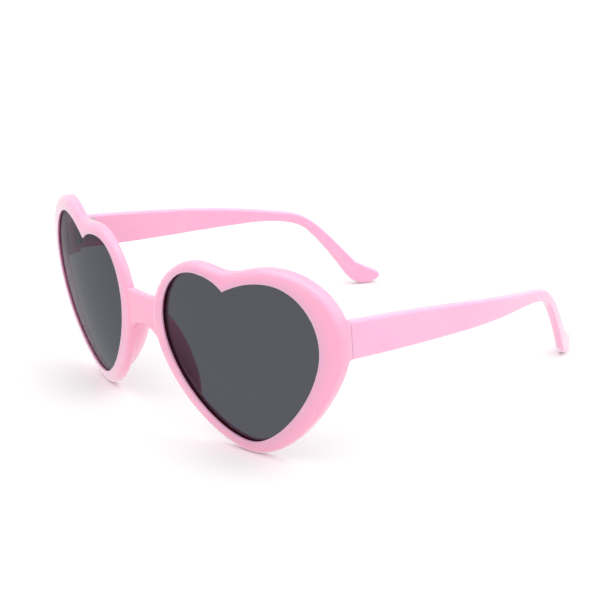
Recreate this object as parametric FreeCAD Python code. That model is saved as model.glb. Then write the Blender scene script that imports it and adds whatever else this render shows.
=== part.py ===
"""Heart shaped sunglasses, built as separate moulded and metal pieces.

Lengths are millimetres. Every piece is drawn in the front's own frame: x to the
wearer's left, y to the back, z up along the front, with the middle of the lens
openings at z = 0. The finished set is leaned back and set down on rims and tips.
"""
import FreeCAD, Part
import math
import os
from FreeCAD import Matrix, Placement, Rotation, Vector

# Front, seen from ahead
opening_width = 54.6
opening_height = 54.0
nose_gap = 20.7
rim_top = 4.1
rim_bottom = 4.7
rim_outer = 6.3
rim_nose = 5.4
bridge_height = 10.3
bridge_rise = 0.6
bridge_bite = 3.2
bridge_top_flare = 0.5
bridge_under_rise = 8.0
bridge_front_step = 0.35
bridge_back_step = 0.1
bridge_round = 0.9

# Front, seen from above
front_radius = 160.0
rim_depth = 2.8
back_radius = 146.0
back_drop = 1.4
mould_draw = 60.0

# Lenses and the groove that holds them
lens_recess = 0.7
lens_thickness = 1.3
groove_depth = 0.9
lens_fit = 0.05
opening_overcut = 0.2

# Nose pads moulded on the rims
pad_half_length = 15.0
pad_half_depth = 4.5
pad_half_width = 2.2
pad_out = 5.8
pad_back = 2.2
pad_fall = 13.4
pad_tilt = 29.0
pad_flare = 5.0

# End blocks behind the rims
block_inset = 1.05
block_width = 6.6
block_length = 4.5
block_bite = 0.3
block_round = 0.8

# Temples
temple_gap = 0.15
temple_thickness = 3.0
temple_length = 133.0
temple_drop = 67.3
temple_top_rise = 6.8
temple_straight = 48.0
temple_bend_radius = 184.0
temple_edge_round = 0.9
temple_spare = 2.0

# Hinges
hinge_drop = 6.5
knuckle_radius = 1.3
knuckle_clear = 0.3
knuckle_height = 1.8
middle_knuckle_height = 2.6
knuckle_gap = 0.1
pivot_radius = 0.6
pivot_fit = 0.03
plate_thickness = 0.9
front_plate_width = 4.4
temple_plate_length = 9.0
web_half_width = 1.0
peg_radius = 0.8
peg_depth = 1.2
peg_spacing = 4.2
screw_head_radius = 1.1
screw_head_height = 0.6
slot_width = 0.35
slot_depth = 0.35

# Roundings of the rim's edges as shares of its depth at the bottom, which the wall at
# the nose limits: there the depth times the last share counts where that is less
rim_front_round_share = 0.66
rim_back_round_share = 0.25
nose_wall_share = 1.13

# Cubic outlines: a start point, then two handles and an end for each curve
opening_start_share = (-0.104, 0.837)
opening_shares = (
    ((0.068, 0.941), (0.233, 1.0), (0.416, 1.0)),
    ((0.745, 1.0), (1.0, 0.696), (1.0, 0.326)),
    ((1.0, -0.241), (0.361, -1.0), (0.013, -1.0)),
    ((-0.39, -1.0), (-1.0, -0.278), (-1.0, 0.326)),
    ((-1.0, 0.685), (-0.793, 0.974), (-0.5, 0.974)),
    ((-0.335, 0.974), (-0.214, 0.933), (-0.104, 0.837)),
)
rim_start_share = (-0.402, 0.943)
rim_shares = (
    ((-0.281, 0.943), (-0.19, 0.909), (-0.099, 0.909)),
    ((0.017, 0.909), (0.156, 1.0), (0.338, 1.0)),
    ((0.718, 1.0), (1.0, 0.698), (1.0, 0.335)),
    ((1.0, -0.137), (0.445, -1.0), (-0.032, -1.0)),
    ((-0.41, -1.0), (-1.0, -0.295), (-1.0, 0.272)),
    ((-1.0, 0.556), (-0.739, 0.943), (-0.402, 0.943)),
)
temple_start_share = (0.0, 0.0)
temple_shares = (
    ((0.2481, -0.1189), (0.5301, -0.2764), (0.7331, -0.422)),
    ((0.7932, -0.4651), (0.8421, -0.6003), (0.9195, -0.8232)),
    ((0.9278, -0.847), (0.9549, -0.8841), (0.9797, -0.9168)),
    ((0.997, -0.9395), (0.9992, -0.9688), (0.9842, -0.9837)),
    ((0.9744, -0.9933), (0.9609, -1.0004), (0.9474, -0.997)),
    ((0.9241, -0.9911), (0.9068, -0.9525), (0.8902, -0.8915)),
    ((0.8609, -0.7831), (0.8233, -0.6538), (0.7857, -0.5646)),
    ((0.7556, -0.4933), (0.6955, -0.4458), (0.5865, -0.4101)),
    ((0.406, -0.3511), (0.203, -0.2764), (0.0, -0.1813)),
)

# Worked out from the sizes above
opening_middle_x = (nose_gap + opening_width) / 2
rim_near_x = nose_gap / 2 - rim_nose
rim_far_x = nose_gap / 2 + opening_width + rim_outer
rim_low_z = -opening_height / 2 - rim_bottom
rim_high_z = opening_height / 2 + rim_top
rim_middle_z = (rim_low_z + rim_high_z) / 2
rim_half_height = (rim_high_z - rim_low_z) / 2
nose_z = rim_middle_z + rim_shares[4][2][1] * rim_half_height
side_z = rim_middle_z + rim_shares[2][2][1] * rim_half_height
bridge_reach = rim_near_x + bridge_bite
bridge_top = nose_z + bridge_rise + bridge_height / 2
bridge_under = nose_z + bridge_rise - bridge_height / 2
rim_middle_x = (rim_near_x + rim_far_x) / 2
ball_centre = Vector(0, front_radius, 0)
back_centre = Vector(0, rim_depth + back_radius, -back_drop)
low_front_y = front_radius - math.sqrt(front_radius**2 - rim_middle_x**2 - rim_low_z**2)
low_back_drop = back_radius**2 - rim_middle_x**2 - (rim_low_z + back_drop) ** 2
low_back_y = rim_depth + back_radius - math.sqrt(low_back_drop)
nose_front_y = front_radius - math.sqrt(front_radius**2 - rim_near_x**2 - nose_z**2)
nose_back_drop = back_radius**2 - rim_near_x**2 - (nose_z + back_drop) ** 2
nose_back_y = rim_depth + back_radius - math.sqrt(nose_back_drop)
rim_thin = min(low_back_y - low_front_y, (nose_back_y - nose_front_y) * nose_wall_share)
rim_front_round = rim_thin * rim_front_round_share
rim_back_round = rim_thin * rim_back_round_share
block_outer_x = rim_far_x - block_inset
block_inner_x = block_outer_x - block_width
temple_top_z = side_z + temple_top_rise
hinge_z = temple_top_z - hinge_drop
block_drop = back_radius**2 - block_inner_x**2 - (hinge_z + back_drop) ** 2
block_front_y = rim_depth + back_radius - math.sqrt(block_drop) - block_bite
butt_y = block_front_y + block_length
temple_outer_x = block_outer_x
temple_inner_x = temple_outer_x - temple_thickness
temple_root_y = butt_y + temple_gap
hinge_x = temple_inner_x - knuckle_radius - knuckle_clear
hinge_y = butt_y + knuckle_radius + knuckle_clear
block_height = -temple_shares[-1][2][1] * temple_drop
along_y = Vector(0, 1, 0)
along_z = Vector(0, 0, 1)


def cubic_chain(start, curves):
    """A closed wire of cubic curves; a straight side closes it if it is open."""
    edges = []
    last = start
    for first_handle, second_handle, end in curves:
        curve = Part.BezierCurve()
        curve.setPoles([last, first_handle, second_handle, end])
        edges.append(curve.toShape())
        last = end
    if last.distanceToPoint(start) > lens_fit:
        edges.append(Part.makeLine(last, start))
    return Part.Wire(edges)


def front_outline(start_share, shares, middle, half_width, half_height):
    """An outline drawn across the front from shares of its half sizes."""
    def place(share):
        return middle + Vector(share[0] * half_width, 0, share[1] * half_height)
    curves = [[place(share) for share in row] for row in shares]
    return cubic_chain(place(start_share), curves)


def drawn(wire):
    """The outline drawn out to both sides of the front along y."""
    face = Part.Face(wire)
    face.translate(along_y * (-mould_draw / 2))
    return face.extrude(along_y * mould_draw)


def opening_prism(grow):
    """The left opening, widened all round by the given amount."""
    wire = front_outline(
        opening_start_share,
        opening_shares,
        Vector(opening_middle_x, 0, 0),
        opening_width / 2 + grow,
        opening_height / 2 + grow,
    )
    return drawn(wire)


def rim_prism():
    """The outside of the left rim."""
    wire = front_outline(
        rim_start_share,
        rim_shares,
        Vector(rim_middle_x, 0, rim_middle_z),
        (rim_far_x - rim_near_x) / 2,
        rim_half_height,
    )
    return drawn(wire)


def bridge_prism():
    """The bridge between the rims, flared above and arched below."""
    top_end = bridge_top + bridge_top_flare
    top_pull = bridge_top - bridge_top_flare / 3
    under_end = bridge_under - bridge_under_rise
    under_pull = bridge_under + bridge_under_rise / 3
    top = Part.BezierCurve()
    top.setPoles([
        Vector(-bridge_reach, 0, top_end),
        Vector(-bridge_reach, 0, top_pull),
        Vector(bridge_reach, 0, top_pull),
        Vector(bridge_reach, 0, top_end),
    ])
    under = Part.BezierCurve()
    under.setPoles([
        Vector(bridge_reach, 0, under_end),
        Vector(bridge_reach, 0, under_pull),
        Vector(-bridge_reach, 0, under_pull),
        Vector(-bridge_reach, 0, under_end),
    ])
    right = Part.makeLine(top.EndPoint, under.StartPoint)
    left = Part.makeLine(under.EndPoint, top.StartPoint)
    return drawn(Part.Wire([top.toShape(), right, under.toShape(), left]))


def ball(radius):
    """A ball about the centre of the front's curve."""
    return Part.makeSphere(radius, ball_centre)


def back_ball(deeper):
    """The ball behind the rims, lowered so that they thin towards the bottom."""
    return Part.makeSphere(back_radius - deeper, back_centre)


def mirrored(shape):
    """The same piece for the other side."""
    return shape.mirror(Vector(0, 0, 0), Vector(1, 0, 0))


def both(shape):
    """A piece and its mirror image as one cutter or one lump."""
    return shape.fuse(mirrored(shape))


def ball_edges(shape, centre, radius):
    """Edges that lie on the ball of the given centre and radius."""
    found = []
    for edge in shape.Edges:
        first, last = edge.ParameterRange
        spots = [edge.valueAt(first + (last - first) * share) for share in (0.2, 0.5, 0.8)]
        if all(abs(spot.distanceToPoint(centre) - radius) < lens_fit for spot in spots):
            found.append(edge)
    return found


def nose_pad():
    """The left nose pad, a smooth swelling on the back of the rim."""
    stretch = Matrix()
    stretch.scale(1, pad_half_depth / pad_half_width, pad_half_length / pad_half_width)
    pad = Part.makeSphere(pad_half_width, Vector(0, 0, 0), along_y).transformGeometry(stretch)
    pad.rotate(Vector(0, 0, 0), along_z, -pad_flare)
    pad.rotate(Vector(0, 0, 0), along_y, -pad_tilt)
    pad.translate(Vector(rim_near_x + pad_out, rim_depth + pad_back, nose_z - pad_fall))
    return pad.common(ball(front_radius - rim_depth / 2))


def end_block():
    """The left end block, which carries the hinge and meets the temple."""
    block = Part.makeBox(
        block_width,
        butt_y - block_front_y,
        block_height,
        Vector(block_inner_x, block_front_y, temple_top_z - block_height),
    )
    long_edges = [e for e in block.Edges if abs((e.Vertexes[1].Point - e.Vertexes[0].Point).y) > block_round]
    return block.makeFillet(block_round, long_edges)


def front_plate():
    """The left hinge leaf on the front: plate, two pegs and two knuckles."""
    reach = knuckle_height + knuckle_gap + middle_knuckle_height / 2
    plate_height = reach * 2
    plate = Part.makeBox(
        front_plate_width,
        plate_thickness,
        plate_height,
        Vector(hinge_x - front_plate_width / 2, butt_y - plate_thickness, hinge_z - reach),
    )
    parts = [plate]
    for side in (-1, 1):
        spot = Vector(hinge_x, butt_y - plate_thickness, hinge_z + side * peg_spacing / 2)
        parts.append(Part.makeCylinder(peg_radius, peg_depth, spot, -along_y))
    for low in (-reach, reach - knuckle_height):
        base = Vector(hinge_x, hinge_y, hinge_z + low)
        parts.append(Part.makeCylinder(knuckle_radius, knuckle_height, base))
        parts.append(Part.makeBox(
            web_half_width * 2,
            hinge_y - butt_y,
            knuckle_height,
            Vector(hinge_x - web_half_width, butt_y, hinge_z + low),
        ))
    leaf = parts[0].multiFuse(parts[1:])
    return leaf.cut(pivot_bore()).removeSplitter()


def temple_plate():
    """The left hinge leaf on the temple: plate, two pegs and the middle knuckle."""
    reach = knuckle_height + knuckle_gap + middle_knuckle_height / 2
    half = middle_knuckle_height / 2
    plate = Part.makeBox(
        plate_thickness,
        temple_plate_length,
        reach * 2,
        Vector(temple_inner_x, hinge_y - web_half_width, hinge_z - reach),
    )
    parts = [plate]
    for step in (1, 2):
        spot = Vector(
            temple_inner_x + plate_thickness,
            hinge_y - web_half_width + temple_plate_length * step / 3,
            hinge_z,
        )
        parts.append(Part.makeCylinder(peg_radius, peg_depth, spot, Vector(1, 0, 0)))
    parts.append(Part.makeCylinder(knuckle_radius, half * 2, Vector(hinge_x, hinge_y, hinge_z - half)))
    parts.append(Part.makeBox(
        temple_inner_x - hinge_x,
        web_half_width * 2,
        half * 2,
        Vector(hinge_x, hinge_y - web_half_width, hinge_z - half),
    ))
    leaf = parts[0].multiFuse(parts[1:])
    return leaf.cut(pivot_bore()).removeSplitter()


def pivot_bore():
    """The bore for the hinge screw, through all three knuckles."""
    length = mould_draw / 2
    base = Vector(hinge_x, hinge_y, hinge_z - length / 2)
    return Part.makeCylinder(pivot_radius + pivot_fit, length, base)


def hinge_screw():
    """The left hinge screw: shank, flat head and driver slot."""
    reach = knuckle_height + knuckle_gap + middle_knuckle_height / 2
    shank = Part.makeCylinder(pivot_radius, reach * 2, Vector(hinge_x, hinge_y, hinge_z - reach))
    head_base = Vector(hinge_x, hinge_y, hinge_z + reach)
    head = Part.makeCylinder(screw_head_radius, screw_head_height, head_base)
    slot = Part.makeBox(
        screw_head_radius * 2,
        slot_width,
        slot_depth,
        head_base + Vector(-screw_head_radius, -slot_width / 2, screw_head_height - slot_depth),
    )
    return shank.fuse(head).cut(slot).removeSplitter()


def rim():
    """The left rim before its opening is cut, rounded in front and softened behind."""
    plate = rim_prism().common(ball(front_radius)).cut(back_ball(0))
    plate = plate.makeFillet(rim_front_round, ball_edges(plate, ball_centre, front_radius))
    return plate.makeFillet(rim_back_round, ball_edges(plate, back_centre, back_radius))


def bridge():
    """The bridge, set back from both faces of the rims so that these stay whole hearts."""
    front = front_radius - bridge_front_step
    bar = bridge_prism().common(ball(front)).cut(back_ball(-bridge_back_step))
    edges = ball_edges(bar, ball_centre, front)
    edges += ball_edges(bar, back_centre, back_radius + bridge_back_step)
    long_edges = [e for e in edges if e.BoundBox.XLength > bridge_reach]
    return bar.makeFillet(bridge_round, long_edges)


def front_frame(front_leaf):
    """Both rims, the bridge, the nose pads and the end blocks in one moulding."""
    body = bridge().fuse([both(rim()), both(nose_pad()), both(end_block())])
    hole = opening_prism(0).cut(back_ball(opening_overcut))
    groove = lens_blank(groove_depth + lens_fit, lens_fit)
    for cutter in (hole, groove, front_leaf):
        body = body.cut(both(cutter))
    return body.removeSplitter()


def lens_blank(grow, spare):
    """The curved blank of the left lens, with room to spare on both faces."""
    outer = ball(front_radius - lens_recess + spare)
    inner = ball(front_radius - lens_recess - lens_thickness - spare)
    return opening_prism(grow).common(outer).cut(inner)


def temple_profile():
    """The left temple seen from the side, drawn out along x."""
    def place(share):
        return Vector(0, temple_root_y + share[0] * temple_length, temple_top_z + share[1] * temple_drop)
    curves = [[place(share) for share in row] for row in temple_shares]
    face = Part.Face(cubic_chain(place(temple_start_share), curves))
    return face.extrude(Vector(temple_outer_x + temple_thickness, 0, 0))


def temple_plan():
    """The left temple seen from above: straight, then bent in towards the ear."""
    bend_y = temple_root_y + temple_straight
    centre = Vector(temple_outer_x - temple_bend_radius, bend_y, 0)
    inner_radius = temple_bend_radius - temple_thickness
    turn = math.asin((temple_length - temple_straight + temple_spare) / inner_radius)

    def on_arc(radius, share):
        angle = turn * share
        return centre + Vector(radius * math.cos(angle), radius * math.sin(angle), 0)

    outer = [on_arc(temple_bend_radius, share) for share in (0, 0.5, 1)]
    inner = [on_arc(inner_radius, share) for share in (1, 0.5, 0)]
    root_outer = Vector(temple_outer_x, temple_root_y, 0)
    root_inner = Vector(temple_inner_x, temple_root_y, 0)
    wire = Part.Wire([
        Part.makeLine(root_outer, outer[0]),
        Part.Arc(outer[0], outer[1], outer[2]).toShape(),
        Part.makeLine(outer[2], inner[0]),
        Part.Arc(inner[0], inner[1], inner[2]).toShape(),
        Part.makeLine(inner[2], root_inner),
        Part.makeLine(root_inner, root_outer),
    ])
    face = Part.Face(wire)
    face.translate(along_z * (temple_top_z - temple_drop - temple_spare))
    return face.extrude(along_z * (temple_drop + temple_spare * 2))


def temple(leaf):
    """The left temple, with soft edges and a seat for its hinge leaf."""
    blank = temple_profile().common(temple_plan()).removeSplitter()
    soft = []
    for edge in blank.Edges:
        box = edge.BoundBox
        from_root = box.YMin < temple_root_y + temple_gap
        if from_root and box.YLength > temple_straight / 2:
            soft.append(edge)
    blank = blank.makeFillet(temple_edge_round, soft)
    return blank.cut(leaf)


def set_down(pieces):
    """Lean the set back so that rims and tips touch the floor, and centre it."""
    tip_y = temple_root_y + temple_length * temple_shares[4][2][0]
    tip_z = temple_top_z + temple_drop * temple_shares[4][2][1]
    low_y = low_front_y + rim_front_round
    lean = math.degrees(math.atan2(rim_low_z - tip_z, tip_y - low_y))
    turn = Placement(Vector(0, 0, 0), Rotation(Vector(1, 0, 0), lean))
    for shape in pieces.values():
        shape.Placement = turn.multiply(shape.Placement)
    box = Part.makeCompound(list(pieces.values())).optimalBoundingBox()
    move = Vector(-box.Center.x, -box.Center.y, -box.ZMin)
    for shape in pieces.values():
        shape.translate(move)


def build():
    """Make every piece and write one file for each."""
    front_leaf = front_plate()
    temple_leaf = temple_plate()
    left = {
        "lens": lens_blank(groove_depth, 0),
        "temple": temple(temple_leaf),
        "front_hinge_leaf": front_leaf,
        "temple_hinge_leaf": temple_leaf,
        "hinge_screw": hinge_screw(),
    }
    pieces = {"front_frame": front_frame(front_leaf)}
    for name, shape in left.items():
        pieces["left_" + name] = shape
        pieces["right_" + name] = mirrored(shape)
    set_down(pieces)
    os.makedirs("parts", exist_ok=True)
    for name, shape in pieces.items():
        shape.exportStep("parts/" + name + ".step")


build()
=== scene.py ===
"""Finishes, studio and camera for heart shaped sunglasses, laid out as an add-on."""
import math

import bpy
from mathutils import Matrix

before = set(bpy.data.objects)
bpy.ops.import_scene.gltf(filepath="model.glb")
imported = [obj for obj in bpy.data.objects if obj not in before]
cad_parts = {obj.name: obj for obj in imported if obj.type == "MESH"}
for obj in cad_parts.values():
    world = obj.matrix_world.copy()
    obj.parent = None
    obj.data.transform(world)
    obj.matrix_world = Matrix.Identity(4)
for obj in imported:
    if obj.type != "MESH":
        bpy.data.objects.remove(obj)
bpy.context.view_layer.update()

bl_info = {
    "name": "Heart Sunglasses",
    "version": (1, 0, 0),
    "blender": (4, 5, 0),
    "location": "View3D > Sidebar > Sunglasses",
    "description": "Finishes the moulded front, temples, lenses and hinges and sets up the studio",
    "category": "Object",
}


class PlasticSettings(bpy.types.PropertyGroup):
    """The pink moulding of the front and the temples."""

    pink: bpy.props.FloatVectorProperty(
        name="Pink",
        description="Main colour of the moulded plastic",
        subtype="COLOR",
        size=3,
        min=0.0,
        max=1.0,
        default=(0.965, 0.395, 0.57),
    )
    # Painted light: the temples' paler pink is a lighter copy of the front's pink, standing in for
    # the brighter light that falls on the temples.
    temple_lit_pink: bpy.props.FloatVectorProperty(
        name="Temple Lit Pink",
        description="Paler pink of the temples, which are moulded apart from the front",
        subtype="COLOR",
        size=3,
        min=0.0,
        max=1.0,
        default=(0.945, 0.435, 0.64),
    )
    streak: bpy.props.FloatProperty(
        name="Streaks",
        description="How much paler the streaks are that the flow of the plastic leaves",
        subtype="FACTOR",
        min=0.0,
        max=1.0,
        default=0.05,
    )
    gloss: bpy.props.FloatProperty(
        name="Roughness",
        description="Roughness of the polished skin",
        subtype="FACTOR",
        min=0.0,
        max=1.0,
        default=0.22,
    )
    polish: bpy.props.FloatProperty(
        name="Polish",
        description="Strength of the clear polished layer",
        subtype="FACTOR",
        min=0.0,
        max=1.0,
        default=0.8,
    )
    bloom: bpy.props.FloatProperty(
        name="Bloom",
        description="Pale veil that the plastic shows towards its edges",
        subtype="FACTOR",
        min=0.0,
        max=1.0,
        default=0.35,
    )
    glow: bpy.props.FloatProperty(
        name="Glow",
        description="Share of light that scatters inside the plastic",
        subtype="FACTOR",
        min=0.0,
        max=1.0,
        default=0.6,
    )
    depth: bpy.props.FloatProperty(
        name="Glow Depth",
        description="How far light travels inside the plastic",
        unit="LENGTH",
        min=0.0,
        default=0.003,
    )


class LensSettings(bpy.types.PropertyGroup):
    """The smoke tinted lenses."""

    smoke: bpy.props.FloatVectorProperty(
        name="Smoke",
        description="Colour that white light has behind the lens",
        subtype="COLOR",
        size=3,
        min=0.0,
        max=1.0,
        default=(0.094, 0.097, 0.112),
    )
    polish: bpy.props.FloatProperty(
        name="Roughness",
        description="Roughness of the polished lens",
        subtype="FACTOR",
        min=0.0,
        max=1.0,
        default=0.004,
    )
    drift: bpy.props.FloatProperty(
        name="Drift",
        description="How much lighter the tint gets where it drifts, as a factor",
        min=0.0,
        default=1.06,
    )


class HingeSettings(bpy.types.PropertyGroup):
    """The stamped hinge leaves and their screws."""

    steel: bpy.props.FloatVectorProperty(
        name="Steel",
        description="Colour of the plated metal",
        subtype="COLOR",
        size=3,
        min=0.0,
        max=1.0,
        default=(0.66, 0.66, 0.68),
    )
    brush: bpy.props.FloatProperty(
        name="Roughness",
        description="Roughness of the stamped metal",
        subtype="FACTOR",
        min=0.0,
        max=1.0,
        default=0.3,
    )
    tarnish: bpy.props.FloatProperty(
        name="Tarnish",
        description="Brightness of the duller patches against the plain metal",
        subtype="FACTOR",
        min=0.0,
        max=1.0,
        default=0.85,
    )


class StudioSettings(bpy.types.PropertyGroup):
    """Floor, lamps and camera."""

    floor_width: bpy.props.FloatProperty(
        name="Floor Width",
        description="Width of the plain floor",
        unit="LENGTH",
        default=6.0,
    )
    floor_white: bpy.props.FloatProperty(
        name="Floor White",
        description="How white the floor is",
        subtype="FACTOR",
        min=0.0,
        max=1.0,
        default=0.8,
    )
    floor_lift: bpy.props.FloatProperty(
        name="Floor Lift",
        description="How far the floor is lifted towards white where it is seen",
        subtype="FACTOR",
        min=0.0,
        max=1.0,
        default=0.08,
    )
    fill: bpy.props.FloatProperty(
        name="Fill",
        description="Strength of the white surroundings",
        default=0.83,
    )
    lamp_spread: bpy.props.FloatProperty(
        name="Lamp Spread",
        description="Angle that each soft lamp covers, seen from the glasses",
        subtype="ANGLE",
        default=math.radians(70.0),
    )
    side_strength: bpy.props.FloatProperty(
        name="Side Lamp",
        description="Strength of the soft lamp beside the glasses",
        default=0.9,
    )
    side_place: bpy.props.FloatVectorProperty(
        name="Side Lamp Place",
        description="Where the soft lamp beside the glasses hangs",
        subtype="TRANSLATION",
        size=3,
        default=(0.65, 0.25, 0.75),
    )
    top_strength: bpy.props.FloatProperty(
        name="Top Lamp",
        description="Strength of the soft lamp above the glasses",
        default=1.2,
    )
    top_place: bpy.props.FloatVectorProperty(
        name="Top Lamp Place",
        description="Where the soft lamp above the glasses hangs",
        subtype="TRANSLATION",
        size=3,
        default=(-0.1, -0.3, 1.0),
    )
    camera_place: bpy.props.FloatVectorProperty(
        name="Camera Place",
        description="Where the camera stands",
        subtype="TRANSLATION",
        size=3,
        default=(0.304947, -0.305531, 0.178187),
    )
    camera_turn: bpy.props.FloatVectorProperty(
        name="Camera Turn",
        description="How the camera is turned",
        subtype="EULER",
        size=3,
        default=(math.radians(70.215), math.radians(-1.0564), math.radians(46.4205)),
    )
    camera_lens: bpy.props.FloatProperty(
        name="Focal Length",
        description="Focal length in millimetres on a sensor 36 mm wide",
        default=77.87,
    )


def surface_group():
    """Faint tone, gloss and height that vary over a moulded or stamped skin."""
    known = bpy.data.node_groups.get("moulded_skin")
    if known:
        return known
    group = bpy.data.node_groups.new("moulded_skin", "ShaderNodeTree")
    face = group.interface
    face.new_socket("Vector", in_out="INPUT", socket_type="NodeSocketVector")
    starts = {"Flow Scale": 30.0, "Grain Scale": 1500.0, "Gloss": 0.25, "Gloss Spread": 0.05}
    for name, start in starts.items():
        socket = face.new_socket(name, in_out="INPUT", socket_type="NodeSocketFloat")
        socket.default_value = start
    for name in ("Tone", "Roughness", "Height"):
        face.new_socket(name, in_out="OUTPUT", socket_type="NodeSocketFloat")
    nodes, links = group.nodes, group.links
    entry = nodes.new("NodeGroupInput")
    leave = nodes.new("NodeGroupOutput")
    flow = nodes.new("ShaderNodeTexNoise")
    flow.inputs["Detail"].default_value = 3.0
    flow.inputs["Distortion"].default_value = 0.6
    grain = nodes.new("ShaderNodeTexNoise")
    grain.inputs["Detail"].default_value = 2.0
    links.new(entry.outputs["Vector"], flow.inputs["Vector"])
    links.new(entry.outputs["Flow Scale"], flow.inputs["Scale"])
    links.new(entry.outputs["Vector"], grain.inputs["Vector"])
    links.new(entry.outputs["Grain Scale"], grain.inputs["Scale"])
    tone = nodes.new("ShaderNodeMapRange")
    tone.inputs["From Min"].default_value = 0.35
    tone.inputs["From Max"].default_value = 0.65
    links.new(flow.outputs["Fac"], tone.inputs["Value"])
    links.new(tone.outputs["Result"], leave.inputs["Tone"])
    gloss = nodes.new("ShaderNodeMath")
    gloss.operation = "MULTIPLY_ADD"
    links.new(grain.outputs["Fac"], gloss.inputs[0])
    links.new(entry.outputs["Gloss Spread"], gloss.inputs[1])
    links.new(entry.outputs["Gloss"], gloss.inputs[2])
    links.new(gloss.outputs["Value"], leave.inputs["Roughness"])
    links.new(grain.outputs["Fac"], leave.inputs["Height"])
    return group


def new_material(name):
    """An empty material with a Principled shader on its output."""
    material = bpy.data.materials.new(name)
    material.use_nodes = True
    nodes = material.node_tree.nodes
    nodes.clear()
    shader = nodes.new("ShaderNodeBsdfPrincipled")
    output = nodes.new("ShaderNodeOutputMaterial")
    material.node_tree.links.new(shader.outputs["BSDF"], output.inputs["Surface"])
    return material, shader


def skin(material, shader, flow_scale, grain_scale, gloss, gloss_spread, bump):
    """Feed a shader's roughness and normal from the moulded skin; returns the tone socket."""
    nodes, links = material.node_tree.nodes, material.node_tree.links
    place = nodes.new("ShaderNodeTexCoord")
    group = nodes.new("ShaderNodeGroup")
    group.node_tree = surface_group()
    links.new(place.outputs["Object"], group.inputs["Vector"])
    group.inputs["Flow Scale"].default_value = flow_scale
    group.inputs["Grain Scale"].default_value = grain_scale
    group.inputs["Gloss"].default_value = gloss
    group.inputs["Gloss Spread"].default_value = gloss_spread
    links.new(group.outputs["Roughness"], shader.inputs["Roughness"])
    if bump:
        height = nodes.new("ShaderNodeBump")
        height.inputs["Strength"].default_value = bump
        height.inputs["Distance"].default_value = 0.0001
        links.new(group.outputs["Height"], height.inputs["Height"])
        links.new(height.outputs["Normal"], shader.inputs["Normal"])
    return group.outputs["Tone"]


def two_tone(material, shader, tone, dark, light):
    """Base colour that drifts between two close colours."""
    nodes, links = material.node_tree.nodes, material.node_tree.links
    mix = nodes.new("ShaderNodeMix")
    mix.data_type = "RGBA"
    mix.inputs["A"].default_value = (*dark, 1.0)
    mix.inputs["B"].default_value = (*light, 1.0)
    links.new(tone, mix.inputs["Factor"])
    links.new(mix.outputs["Result"], shader.inputs["Base Color"])


def pink_plastic(name, pink):
    """Polished pink plastic, slightly translucent."""
    values = bpy.context.scene.sunglasses_plastic
    material, shader = new_material(name)
    tone = skin(
        material,
        shader,
        flow_scale=28.0,
        grain_scale=1400.0,
        gloss=values.gloss,
        gloss_spread=0.06,
        bump=0.04,
    )
    paler = tuple(channel + (1.0 - channel) * values.streak for channel in pink)
    two_tone(material, shader, tone, pink, paler)
    shader.inputs["IOR"].default_value = 1.49
    shader.inputs["Coat Weight"].default_value = values.polish
    shader.inputs["Coat Roughness"].default_value = 0.12
    shader.inputs["Sheen Weight"].default_value = values.bloom
    shader.inputs["Sheen Roughness"].default_value = 0.35
    shader.inputs["Subsurface Weight"].default_value = values.glow
    shader.inputs["Subsurface Radius"].default_value = (1.0, 0.35, 0.5)
    shader.inputs["Subsurface Scale"].default_value = values.depth
    return material


def smoke_lens():
    """Clear plastic with a smoke tint."""
    values = bpy.context.scene.sunglasses_lens
    material, shader = new_material("smoke_lens_finish")
    tone = skin(
        material,
        shader,
        flow_scale=18.0,
        grain_scale=60.0,
        gloss=values.polish,
        gloss_spread=0.01,
        bump=0.0,
    )
    lighter = tuple(channel * values.drift for channel in values.smoke)
    two_tone(material, shader, tone, values.smoke, lighter)
    shader.inputs["IOR"].default_value = 1.08
    shader.inputs["Transmission Weight"].default_value = 1.0
    return material


def hinge_steel():
    """Bright stamped metal."""
    values = bpy.context.scene.sunglasses_hinge
    material, shader = new_material("hinge_steel_finish")
    tone = skin(
        material,
        shader,
        flow_scale=400.0,
        grain_scale=6000.0,
        gloss=values.brush,
        gloss_spread=0.12,
        bump=0.15,
    )
    darker = tuple(channel * values.tarnish for channel in values.steel)
    two_tone(material, shader, tone, darker, values.steel)
    shader.inputs["Metallic"].default_value = 1.0
    return material


def dress(node, material):
    """Give a carried-over piece its finish."""
    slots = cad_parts[node].data.materials
    slots.clear()
    slots.append(material)


class SUNGLASSES_OT_front(bpy.types.Operator):
    """Finish the moulded front."""

    bl_idname = "sunglasses.front"
    bl_label = "Front"

    def execute(self, context):
        pink = context.scene.sunglasses_plastic.pink
        dress("front_frame", pink_plastic("front_pink_finish", pink))
        return {"FINISHED"}


class SUNGLASSES_OT_temples(bpy.types.Operator):
    """Finish both temples."""

    bl_idname = "sunglasses.temples"
    bl_label = "Temples"

    def execute(self, context):
        # The temples get the paler pink, which is painted light: brighter light painted into their
        # colour.
        pink = context.scene.sunglasses_plastic.temple_lit_pink
        finish = pink_plastic("temple_lit_pink_finish", pink)
        for node in ("left_temple", "right_temple"):
            dress(node, finish)
        return {"FINISHED"}


class SUNGLASSES_OT_lenses(bpy.types.Operator):
    """Finish both lenses."""

    bl_idname = "sunglasses.lenses"
    bl_label = "Lenses"

    def execute(self, context):
        finish = smoke_lens()
        for node in ("left_lens", "right_lens"):
            dress(node, finish)
        return {"FINISHED"}


class SUNGLASSES_OT_hinges(bpy.types.Operator):
    """Finish the hinge leaves and screws."""

    bl_idname = "sunglasses.hinges"
    bl_label = "Hinges"

    def execute(self, context):
        finish = hinge_steel()
        for side in ("left", "right"):
            for part in ("front_hinge_leaf", "temple_hinge_leaf", "hinge_screw"):
                dress(f"{side}_{part}", finish)
        return {"FINISHED"}


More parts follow.
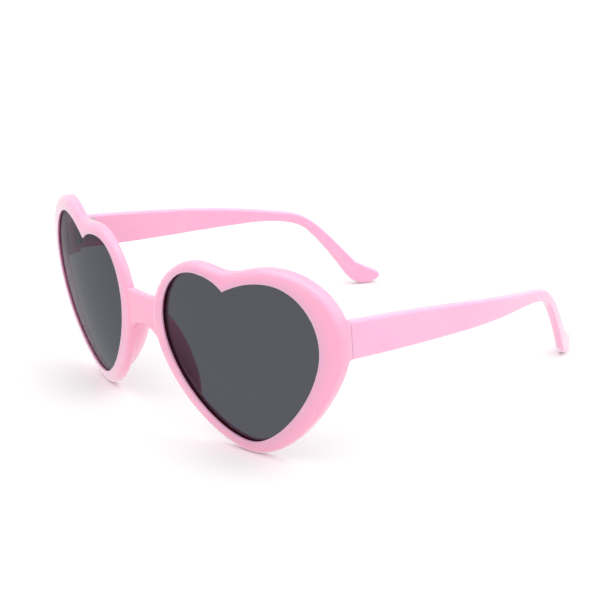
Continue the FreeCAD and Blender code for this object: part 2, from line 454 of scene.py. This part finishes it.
def seen_by(tree, rays):
    """A socket that is 1 for any of the named kinds of ray."""
    path = tree.nodes.new("ShaderNodeLightPath")
    seen = path.outputs[rays[0]]
    for ray in rays[1:]:
        either = tree.nodes.new("ShaderNodeMath")
        either.operation = "MAXIMUM"
        tree.links.new(seen, either.inputs[0])
        tree.links.new(path.outputs[ray], either.inputs[1])
        seen = either.outputs["Value"]
    return seen


def white_floor(white, lift):
    """White to the camera and in reflections, with the shadow of the glasses kept."""
    material, shader = new_material("studio_floor")
    shader.inputs["Base Color"].default_value = (white, white, white, 1.0)
    shader.inputs["Roughness"].default_value = 0.9
    shader.inputs["Specular IOR Level"].default_value = 0.0
    tree = material.node_tree
    share = tree.nodes.new("ShaderNodeMath")
    share.operation = "MULTIPLY"
    tree.links.new(seen_by(tree, ("Is Camera Ray",)), share.inputs[0])
    share.inputs[1].default_value = lift
    lifted = tree.nodes.new("ShaderNodeEmission")
    tree.links.new(share.outputs["Value"], lifted.inputs["Strength"])
    shaded = tree.nodes.new("ShaderNodeAddShader")
    tree.links.new(shader.outputs["BSDF"], shaded.inputs[0])
    tree.links.new(lifted.outputs["Emission"], shaded.inputs[1])
    plain = tree.nodes.new("ShaderNodeEmission")
    mix = tree.nodes.new("ShaderNodeMixShader")
    tree.links.new(seen_by(tree, ("Is Glossy Ray", "Is Transmission Ray")), mix.inputs["Fac"])
    tree.links.new(shaded.outputs["Shader"], mix.inputs[1])
    tree.links.new(plain.outputs["Emission"], mix.inputs[2])
    output = next(node for node in tree.nodes if node.type == "OUTPUT_MATERIAL")
    tree.links.new(mix.outputs["Shader"], output.inputs["Surface"])
    return material


def studio_world(fill):
    """Plain white surroundings, full white where the camera, gloss or lenses see them."""
    world = bpy.data.worlds.new("studio_world")
    world.use_nodes = True
    nodes, links = world.node_tree.nodes, world.node_tree.links
    nodes.clear()
    strength = nodes.new("ShaderNodeMapRange")
    strength.inputs["To Min"].default_value = fill
    strength.inputs["To Max"].default_value = 1.0
    rays = ("Is Camera Ray", "Is Glossy Ray", "Is Transmission Ray")
    links.new(seen_by(world.node_tree, rays), strength.inputs["Value"])
    back = nodes.new("ShaderNodeBackground")
    back.inputs["Color"].default_value = (1.0, 1.0, 1.0, 1.0)
    links.new(strength.outputs["Result"], back.inputs["Strength"])
    output = nodes.new("ShaderNodeOutputWorld")
    links.new(back.outputs["Background"], output.inputs["Surface"])
    return world


def soft_lamp(name, place, strength, spread):
    """A wide even lamp that shines on the glasses from its place."""
    bpy.ops.object.light_add(type="SUN", location=place)
    lamp = bpy.context.object
    lamp.name = name
    lamp.data.energy = strength
    lamp.data.angle = spread
    lamp.rotation_euler = (-lamp.location).to_track_quat("-Z", "Y").to_euler()


class SUNGLASSES_OT_stage(bpy.types.Operator):
    """Set up the floor, the lamps and the camera."""

    bl_idname = "sunglasses.stage"
    bl_label = "Stage"

    def execute(self, context):
        values = context.scene.sunglasses_studio
        bpy.ops.object.select_all(action="DESELECT")
        bpy.ops.mesh.primitive_plane_add(size=values.floor_width)
        floor = context.object
        floor.name = "studio_floor"
        floor.data.materials.append(white_floor(values.floor_white, values.floor_lift))
        context.scene.world = studio_world(values.fill)
        soft_lamp("side_lamp", values.side_place, values.side_strength, values.lamp_spread)
        soft_lamp("top_lamp", values.top_place, values.top_strength, values.lamp_spread)
        bpy.ops.object.camera_add(location=values.camera_place, rotation=values.camera_turn)
        camera = context.object
        camera.name = "studio_camera"
        camera.data.sensor_fit = "HORIZONTAL"
        camera.data.sensor_width = 36.0
        camera.data.lens = values.camera_lens
        camera.data.clip_start = 0.01
        context.scene.camera = camera
        context.scene.view_settings.view_transform = "Standard"
        return {"FINISHED"}


class SUNGLASSES_PT_panel(bpy.types.Panel):
    """Lists the finishing steps."""

    bl_idname = "SUNGLASSES_PT_panel"
    bl_label = "Sunglasses"
    bl_space_type = "VIEW_3D"
    bl_region_type = "UI"
    bl_category = "Sunglasses"

    def draw(self, context):
        for operator in OPERATORS:
            self.layout.operator(operator.bl_idname)


SETTINGS = {
    "sunglasses_plastic": PlasticSettings,
    "sunglasses_lens": LensSettings,
    "sunglasses_hinge": HingeSettings,
    "sunglasses_studio": StudioSettings,
}
OPERATORS = (
    SUNGLASSES_OT_front,
    SUNGLASSES_OT_temples,
    SUNGLASSES_OT_lenses,
    SUNGLASSES_OT_hinges,
    SUNGLASSES_OT_stage,
)


def register():
    for name, group in SETTINGS.items():
        bpy.utils.register_class(group)
        setattr(bpy.types.Scene, name, bpy.props.PointerProperty(type=group))
    for item in (*OPERATORS, SUNGLASSES_PT_panel):
        bpy.utils.register_class(item)


def unregister():
    for item in reversed((*OPERATORS, SUNGLASSES_PT_panel)):
        bpy.utils.unregister_class(item)
    for name, group in SETTINGS.items():
        delattr(bpy.types.Scene, name)
        bpy.utils.unregister_class(group)


def main():
    register()
    bpy.ops.sunglasses.front()
    bpy.ops.sunglasses.temples()
    bpy.ops.sunglasses.lenses()
    bpy.ops.sunglasses.hinges()
    bpy.ops.sunglasses.stage()


if __name__ == "__main__":
    main()
